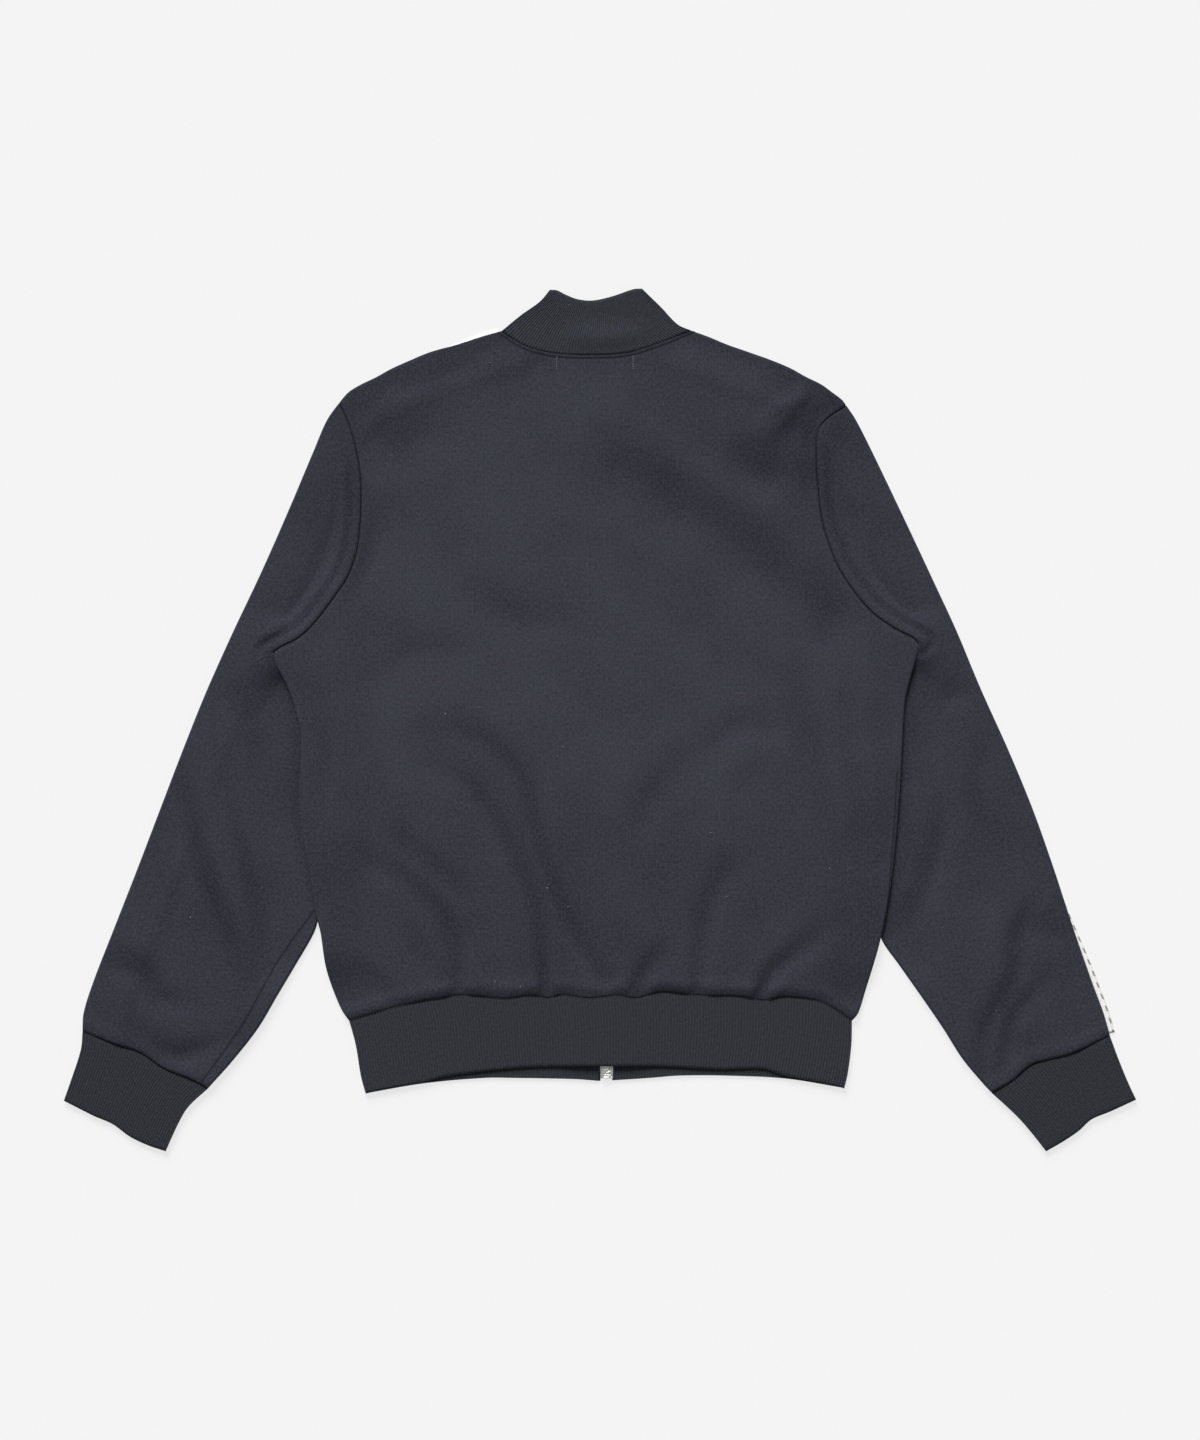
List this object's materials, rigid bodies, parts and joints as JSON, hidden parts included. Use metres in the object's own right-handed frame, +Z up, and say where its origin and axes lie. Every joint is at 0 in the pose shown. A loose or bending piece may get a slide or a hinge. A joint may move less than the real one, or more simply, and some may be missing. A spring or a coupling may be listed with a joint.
{
  "type": "track jacket",
  "caption": "Full-zip track jacket in navy jersey, laid flat on its front with its back up, with rib collar, cuffs and hem and white sleeve tape.",
  "frame": {"origin": "on the surface that the jacket lies on, under the middle of its outline", "axes": "+Z up from the surface, +Y from the hem to the collar, +X to the wearer's right side, as the back faces up"},
  "size_m": [0.911, 0.733, 0.01],
  "materials": {
    "jersey": "smooth jersey with a faint nap",
    "rib": "fine rib knit",
    "tape": "woven tape",
    "zip_tape": "woven zip tape",
    "coil": "moulded coil",
    "metal": "satin"
  },
  "bodies": {
    "jacket": {"back": "jersey", "front_left": "jersey", "front_right": "jersey", "sleeve_left": "jersey", "sleeve_right": "jersey", "cuff_left": "rib", "cuff_right": "rib", "collar": "rib", "hem_band": "rib", "tape_left": "tape", "tape_right": "tape", "zip_tape_left": "zip_tape", "zip_tape_right": "zip_tape", "zip_coil": "coil", "zip_slider": "metal", "zip_box": "metal"},
    "pull": {"zip_pull": "metal"}
  },
  "joints": [
    {"name": "pull_tab", "type": "hinge", "parent": "jacket", "child": "pull", "pos_m": [0.005, 0.298, 0.00185], "axis": [1, 0, 0], "range_deg": [0, 170]}
  ]
}
